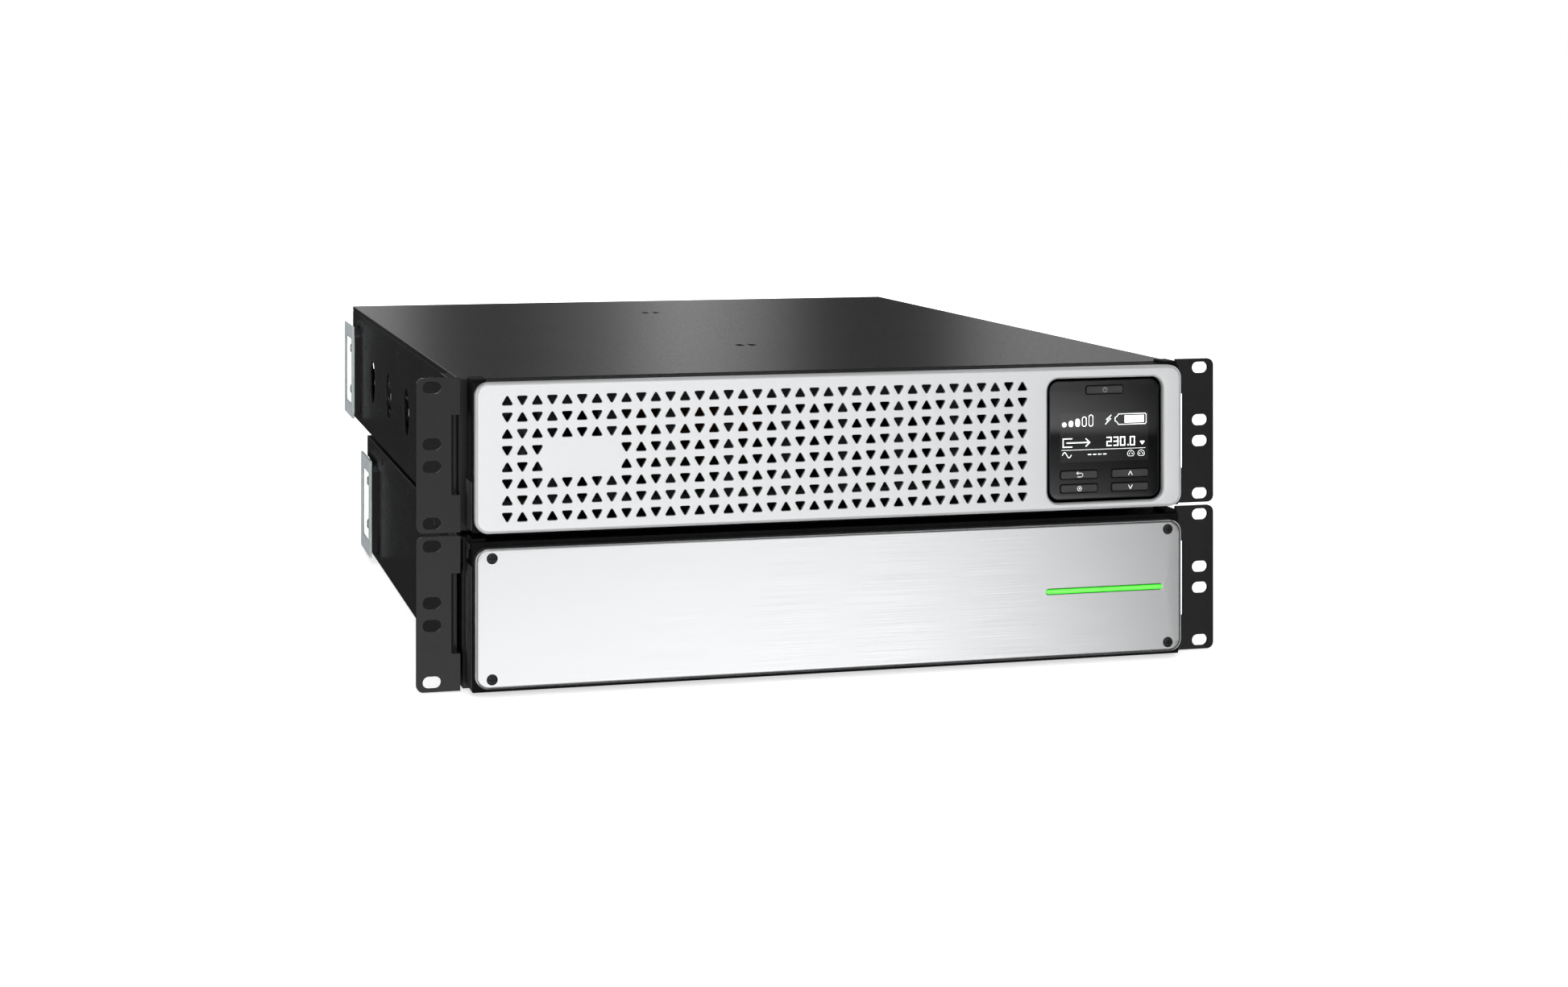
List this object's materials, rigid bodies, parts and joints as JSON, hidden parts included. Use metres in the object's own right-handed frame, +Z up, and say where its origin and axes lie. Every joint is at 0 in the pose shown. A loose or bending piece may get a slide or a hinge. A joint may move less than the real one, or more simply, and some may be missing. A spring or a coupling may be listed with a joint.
{
  "type": "rackmount ups",
  "caption": "Rack-mount uninterruptible power supply: a grille-fronted power module with a tilting display, stacked on a flat-fronted battery module, with slotted rack ears and rear brackets.",
  "frame": {"origin": "centre of the bounding box's underside, on the floor under the battery module", "axes": "+X to the right seen from the front, -Y towards the viewer of the front panels, +Z up"},
  "size_m": [0.4826, 0.636, 0.1761],
  "materials": {
    "coated_steel": "semi-gloss black powder coat",
    "ear_steel": "fine-textured black powder coat",
    "silver_panel": "satin silver",
    "brushed_panel": "brushed, clear coated",
    "black_plastic": "fine-textured black moulding",
    "gloss_black": "high gloss black",
    "key_plastic": "satin dark grey",
    "zinc_plate": "bright zinc plate",
    "screw_steel": "black oxide",
    "green_light": "lit translucent lens",
    "circuit_board": "solder mask",
    "aluminium_fins": "mill finish extrusion",
    "strip_rubber": "matte",
    "lcd_glass": "dark liquid-crystal panel",
    "cell_wrap": "shrink-wrapped cells",
    "wound_core": "varnished windings on a steel core",
    "port_shell": "bright plated socket shells",
    "capacitor_can": "sleeved capacitor can"
  },
  "bodies": {
    "chassis": {"battery_base_tray": "coated_steel", "battery_bezel_frame": "black_plastic", "battery_bracket_left": "zinc_plate", "battery_bracket_right": "zinc_plate", "battery_ear_left": "ear_steel", "battery_ear_right": "ear_steel", "battery_front_plate": "brushed_panel", "battery_rear_panel": "coated_steel", "battery_top_cover": "coated_steel", "breaker_body": "black_plastic", "bus_capacitor_1": "capacitor_can", "bus_capacitor_2": "capacitor_can", "card_slot_cover": "coated_steel", "cell_monitor_board": "circuit_board", "cell_pack_left": "cell_wrap", "cell_pack_right": "cell_wrap", "disconnect_body": "black_plastic", "display_pin_left": "screw_steel", "display_pin_right": "screw_steel", "fan_frame_left": "black_plastic", "fan_frame_right": "black_plastic", "heatsink_left": "aluminium_fins", "heatsink_right": "aluminium_fins", "lead_socket": "black_plastic", "light_bar": "green_light", "main_board": "circuit_board", "outlet_bank_lower": "black_plastic", "outlet_bank_upper": "black_plastic", "pack_socket": "black_plastic", "plate_screw_lower_left": "screw_steel", "plate_screw_lower_right": "screw_steel", "plate_screw_upper_left": "screw_steel", "plate_screw_upper_right": "screw_steel", "port_block": "port_shell", "power_base_tray": "coated_steel", "power_bezel": "silver_panel", "power_bezel_frame": "black_plastic", "power_bracket_left": "zinc_plate", "power_bracket_right": "zinc_plate", "power_ear_left": "ear_steel", "power_ear_right": "ear_steel", "power_inlet": "black_plastic", "power_rear_panel": "coated_steel", "power_top_cover": "coated_steel", "power_transformer": "wound_core", "stacking_strip_left": "strip_rubber", "stacking_strip_right": "strip_rubber"},
    "display": {"display_housing": "black_plastic", "display_window": "gloss_black", "lcd_panel": "lcd_glass", "display_board": "circuit_board"},
    "power_button": {"power_button": "key_plastic"},
    "escape_button": {"escape_button": "key_plastic"},
    "enter_button": {"enter_button": "key_plastic"},
    "up_button": {"up_button": "key_plastic"},
    "down_button": {"down_button": "key_plastic"},
    "fan_rotor_left": {"fan_rotor_left": "black_plastic"},
    "fan_rotor_right": {"fan_rotor_right": "black_plastic"},
    "breaker_button": {"breaker_button": "key_plastic"},
    "disconnect_lever": {"disconnect_lever": "key_plastic"}
  },
  "joints": [
    {"name": "display_tilt", "type": "hinge", "parent": "chassis", "child": "display", "pos_m": [0.1626, -0.3105, 0.1617], "axis": [-1, 0, 0], "range_deg": [0, 30]},
    {"name": "power_button_press", "type": "slide", "parent": "display", "child": "power_button", "axis": [0, 1, 0], "range_m": [0, 0.0008], "stiffness_N_per_m": 900, "springref_m": -0.0005},
    {"name": "escape_button_press", "type": "slide", "parent": "display", "child": "escape_button", "axis": [0, 1, 0], "range_m": [0, 0.0008], "stiffness_N_per_m": 900, "springref_m": -0.0005},
    {"name": "enter_button_press", "type": "slide", "parent": "display", "child": "enter_button", "axis": [0, 1, 0], "range_m": [0, 0.0008], "stiffness_N_per_m": 900, "springref_m": -0.0005},
    {"name": "up_button_press", "type": "slide", "parent": "display", "child": "up_button", "axis": [0, 1, 0], "range_m": [0, 0.0008], "stiffness_N_per_m": 900, "springref_m": -0.0005},
    {"name": "down_button_press", "type": "slide", "parent": "display", "child": "down_button", "axis": [0, 1, 0], "range_m": [0, 0.0008], "stiffness_N_per_m": 900, "springref_m": -0.0005},
    {"name": "fan_spin_left", "type": "hinge", "parent": "chassis", "child": "fan_rotor_left", "pos_m": [-0.175, 0.3002, 0.1319], "axis": [0, 1, 0], "continuous": true},
    {"name": "fan_spin_right", "type": "hinge", "parent": "chassis", "child": "fan_rotor_right", "pos_m": [-0.105, 0.3002, 0.1319], "axis": [0, 1, 0], "continuous": true},
    {"name": "breaker_pop", "type": "slide", "parent": "chassis", "child": "breaker_button", "axis": [0, 1, 0], "range_m": [0, 0.004]},
    {"name": "disconnect_throw", "type": "hinge", "parent": "chassis", "child": "disconnect_lever", "pos_m": [0.08, 0.204, 0.04], "axis": [1, 0, 0], "range_deg": [-51, 0]}
  ]
}
